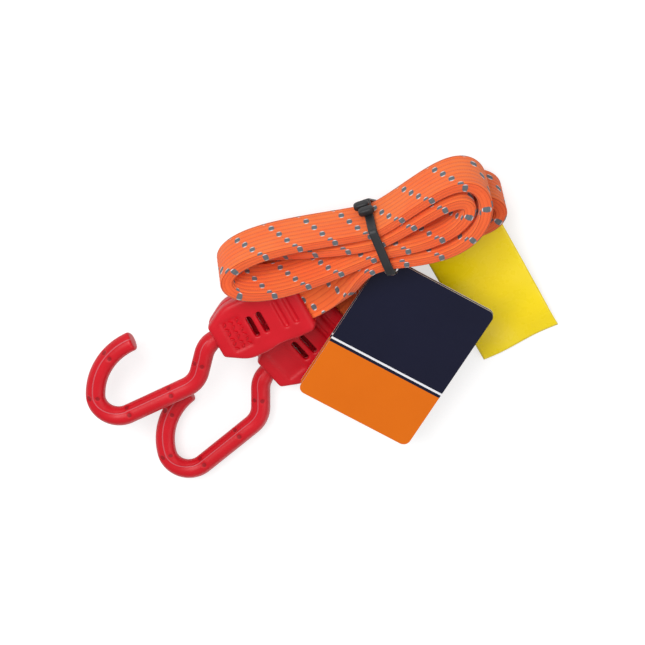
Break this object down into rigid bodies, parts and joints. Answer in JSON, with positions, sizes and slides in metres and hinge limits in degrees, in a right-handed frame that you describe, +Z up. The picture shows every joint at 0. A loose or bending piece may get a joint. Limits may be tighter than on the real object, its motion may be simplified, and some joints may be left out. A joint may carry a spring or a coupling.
{
  "type": "flat bungee cord",
  "caption": "Flat elastic strap folded into a tied hank, with a swivelling hook in a moulded housing at each end, a hanging card and a film flag.",
  "frame": {"origin": "middle of the bounding box, on the floor", "axes": "+Z up from the floor, +X along the length from the hooks to the flag, +Y towards the hank"},
  "size_m": [0.188, 0.1424, 0.0414],
  "materials": {
    "strap": "ribbed woven sleeve over rubber strands",
    "housing": "moulded, satin",
    "hook": "moulded over a wire, satin",
    "steel": "plain",
    "tie": "moulded",
    "card": "coated",
    "film": "plain film"
  },
  "bodies": {
    "cord": {"strap_hank": "strap", "strap_tail_a": "strap", "strap_tail_b": "strap", "housing_a_front_shell": "housing", "housing_a_back_shell": "housing", "housing_b_front_shell": "housing", "housing_b_back_shell": "housing", "strap_ferrule_a": "steel", "strap_ferrule_b": "steel", "shell_pin_a_left": "steel", "shell_pin_a_right": "steel", "shell_pin_b_left": "steel", "shell_pin_b_right": "steel", "tie": "tie", "flag_front_leaf": "film", "flag_back_leaf": "film"},
    "hook_a": {"hook_a_cover": "hook", "hook_a_core": "steel"},
    "hook_b": {"hook_b_cover": "hook", "hook_b_core": "steel"},
    "card_back": {"card_back_leaf": "card"},
    "card_front": {"card_front_leaf": "card"}
  },
  "joints": [
    {"name": "hook_a_swivel", "type": "hinge", "parent": "cord", "child": "hook_a", "pos_m": [-0.04186, -0.00536, 0.01876], "axis": [-0.885, -0.4627, -0.0523], "range_deg": [0, 170]},
    {"name": "hook_b_swivel", "type": "hinge", "parent": "cord", "child": "hook_b", "pos_m": [-0.02158, -0.0245, 0.0062], "axis": [0.7547, 0.6561, 0], "range_deg": [0, 170]},
    {"name": "card_swing", "type": "hinge", "parent": "cord", "child": "card_back", "pos_m": [0.02638, 0.02738, 0.02741], "axis": [-0.8695, 0.4939, 0], "range_deg": [0, 20]},
    {"name": "card_open", "type": "hinge", "parent": "card_back", "child": "card_front", "pos_m": [0.02832, 0.03079, 0.0275], "axis": [-0.8695, 0.4939, 0], "range_deg": [0, 20]}
  ]
}
